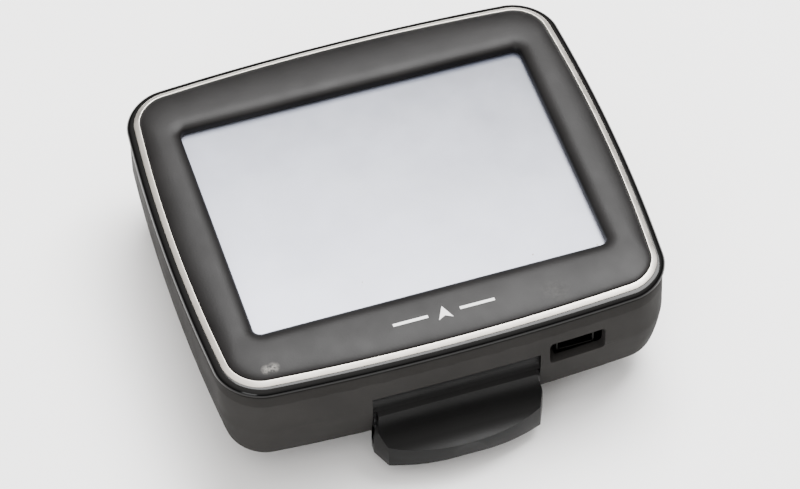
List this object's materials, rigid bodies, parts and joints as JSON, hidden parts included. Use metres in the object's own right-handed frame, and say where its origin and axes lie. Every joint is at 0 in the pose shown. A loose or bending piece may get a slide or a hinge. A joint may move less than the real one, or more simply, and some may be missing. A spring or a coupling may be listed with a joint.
{
  "type": "portable gps navigator",
  "caption": "Palm-sized car navigator with a small touch screen, bright trim ring, pillowed bezel, charging port and a suction mount that folds into its back.",
  "frame": {"origin": "centre of the twist dial's outer face, on which the folded unit lies", "axes": "+X to the right of the screen, +Y to the screen's top edge, +Z out of the screen"},
  "size_m": [0.0932, 0.0907, 0.0306],
  "materials": {
    "bezel": "satin charcoal lacquered plastic",
    "trim_ring": "satin bright plating",
    "glossy_rim": "gloss",
    "front_frame": "fine satin",
    "rear_shell": "fine satin texture",
    "foam_black": "foam",
    "touch_panel": "matt anti-glare film",
    "lcd_glass": "polished",
    "diffuser": "diffuser film",
    "tray_steel": "stamped",
    "board": "solder mask",
    "chip": "moulded epoxy",
    "shield_tin": "tinned",
    "ceramic": "fired ceramic",
    "pad_white": "adhesive foam",
    "switch_body": "moulded",
    "button": "satin",
    "battery_wrap": "foil wrap",
    "leads": "insulated wire",
    "speaker_cone": "paper cone",
    "mesh": "acoustic cloth",
    "flex": "polyimide film",
    "screw_steel": "black zinc",
    "pin_steel": "ground",
    "washer_black": "moulded",
    "arm": "satin black",
    "dial": "fine satin",
    "dial_cap": "satin",
    "stem_plastic": "natural acetal",
    "cup_rubber": "soft translucent smoke"
  },
  "bodies": {
    "housing": {"bezel": "bezel", "trim_ring": "trim_ring", "glossy_rim": "glossy_rim", "front_frame": "front_frame", "rear_shell": "rear_shell", "screen_gasket": "foam_black", "touch_panel": "touch_panel", "lcd_cell": "lcd_glass", "backlight_unit": "diffuser", "display_tray": "tray_steel", "main_board": "board", "processor": "chip", "memory_chips": "chip", "radio_shield": "shield_tin", "gps_antenna": "ceramic", "antenna_pad": "pad_white", "usb_socket": "shield_tin", "power_switch": "switch_body", "battery": "battery_wrap", "battery_pad": "pad_white", "battery_leads": "leads", "speaker": "speaker_cone", "speaker_gasket": "foam_black", "speaker_mesh": "mesh", "lcd_flex": "flex", "touch_flex": "flex", "housing_screws": "screw_steel", "board_screws": "screw_steel", "hinge_pin": "pin_steel", "friction_washers": "washer_black"},
    "mount_arm": {"mount_arm": "arm"},
    "twist_dial": {"twist_dial": "dial", "dial_cap": "dial_cap"},
    "cup_stem": {"cup_stem": "stem_plastic", "cross_pin": "pin_steel", "suction_cup": "cup_rubber"},
    "power_button": {"power_button": "button"}
  },
  "joints": [
    {"name": "mount_hinge", "type": "hinge", "parent": "housing", "child": "mount_arm", "pos_m": [0, -0.0388, 0.012], "axis": [-1, 0, 0], "range_deg": [0, 60]},
    {"name": "dial_twist", "type": "hinge", "parent": "mount_arm", "child": "twist_dial", "pos_m": [0, 0, 0], "axis": [0, 0, 1], "range_deg": [0, 60]},
    {"name": "cup_draw", "type": "slide", "parent": "mount_arm", "child": "cup_stem", "axis": [0, 0, -1], "range_m": [0, 0.0015]},
    {"name": "power_press", "type": "slide", "parent": "housing", "child": "power_button", "axis": [0, -1, 0], "range_m": [0, 0.0005], "stiffness_N_per_m": 1200}
  ],
  "couplings": [
    {"joint": "cup_draw", "follows": "dial_twist", "m_per_rad": 0.001432}
  ]
}
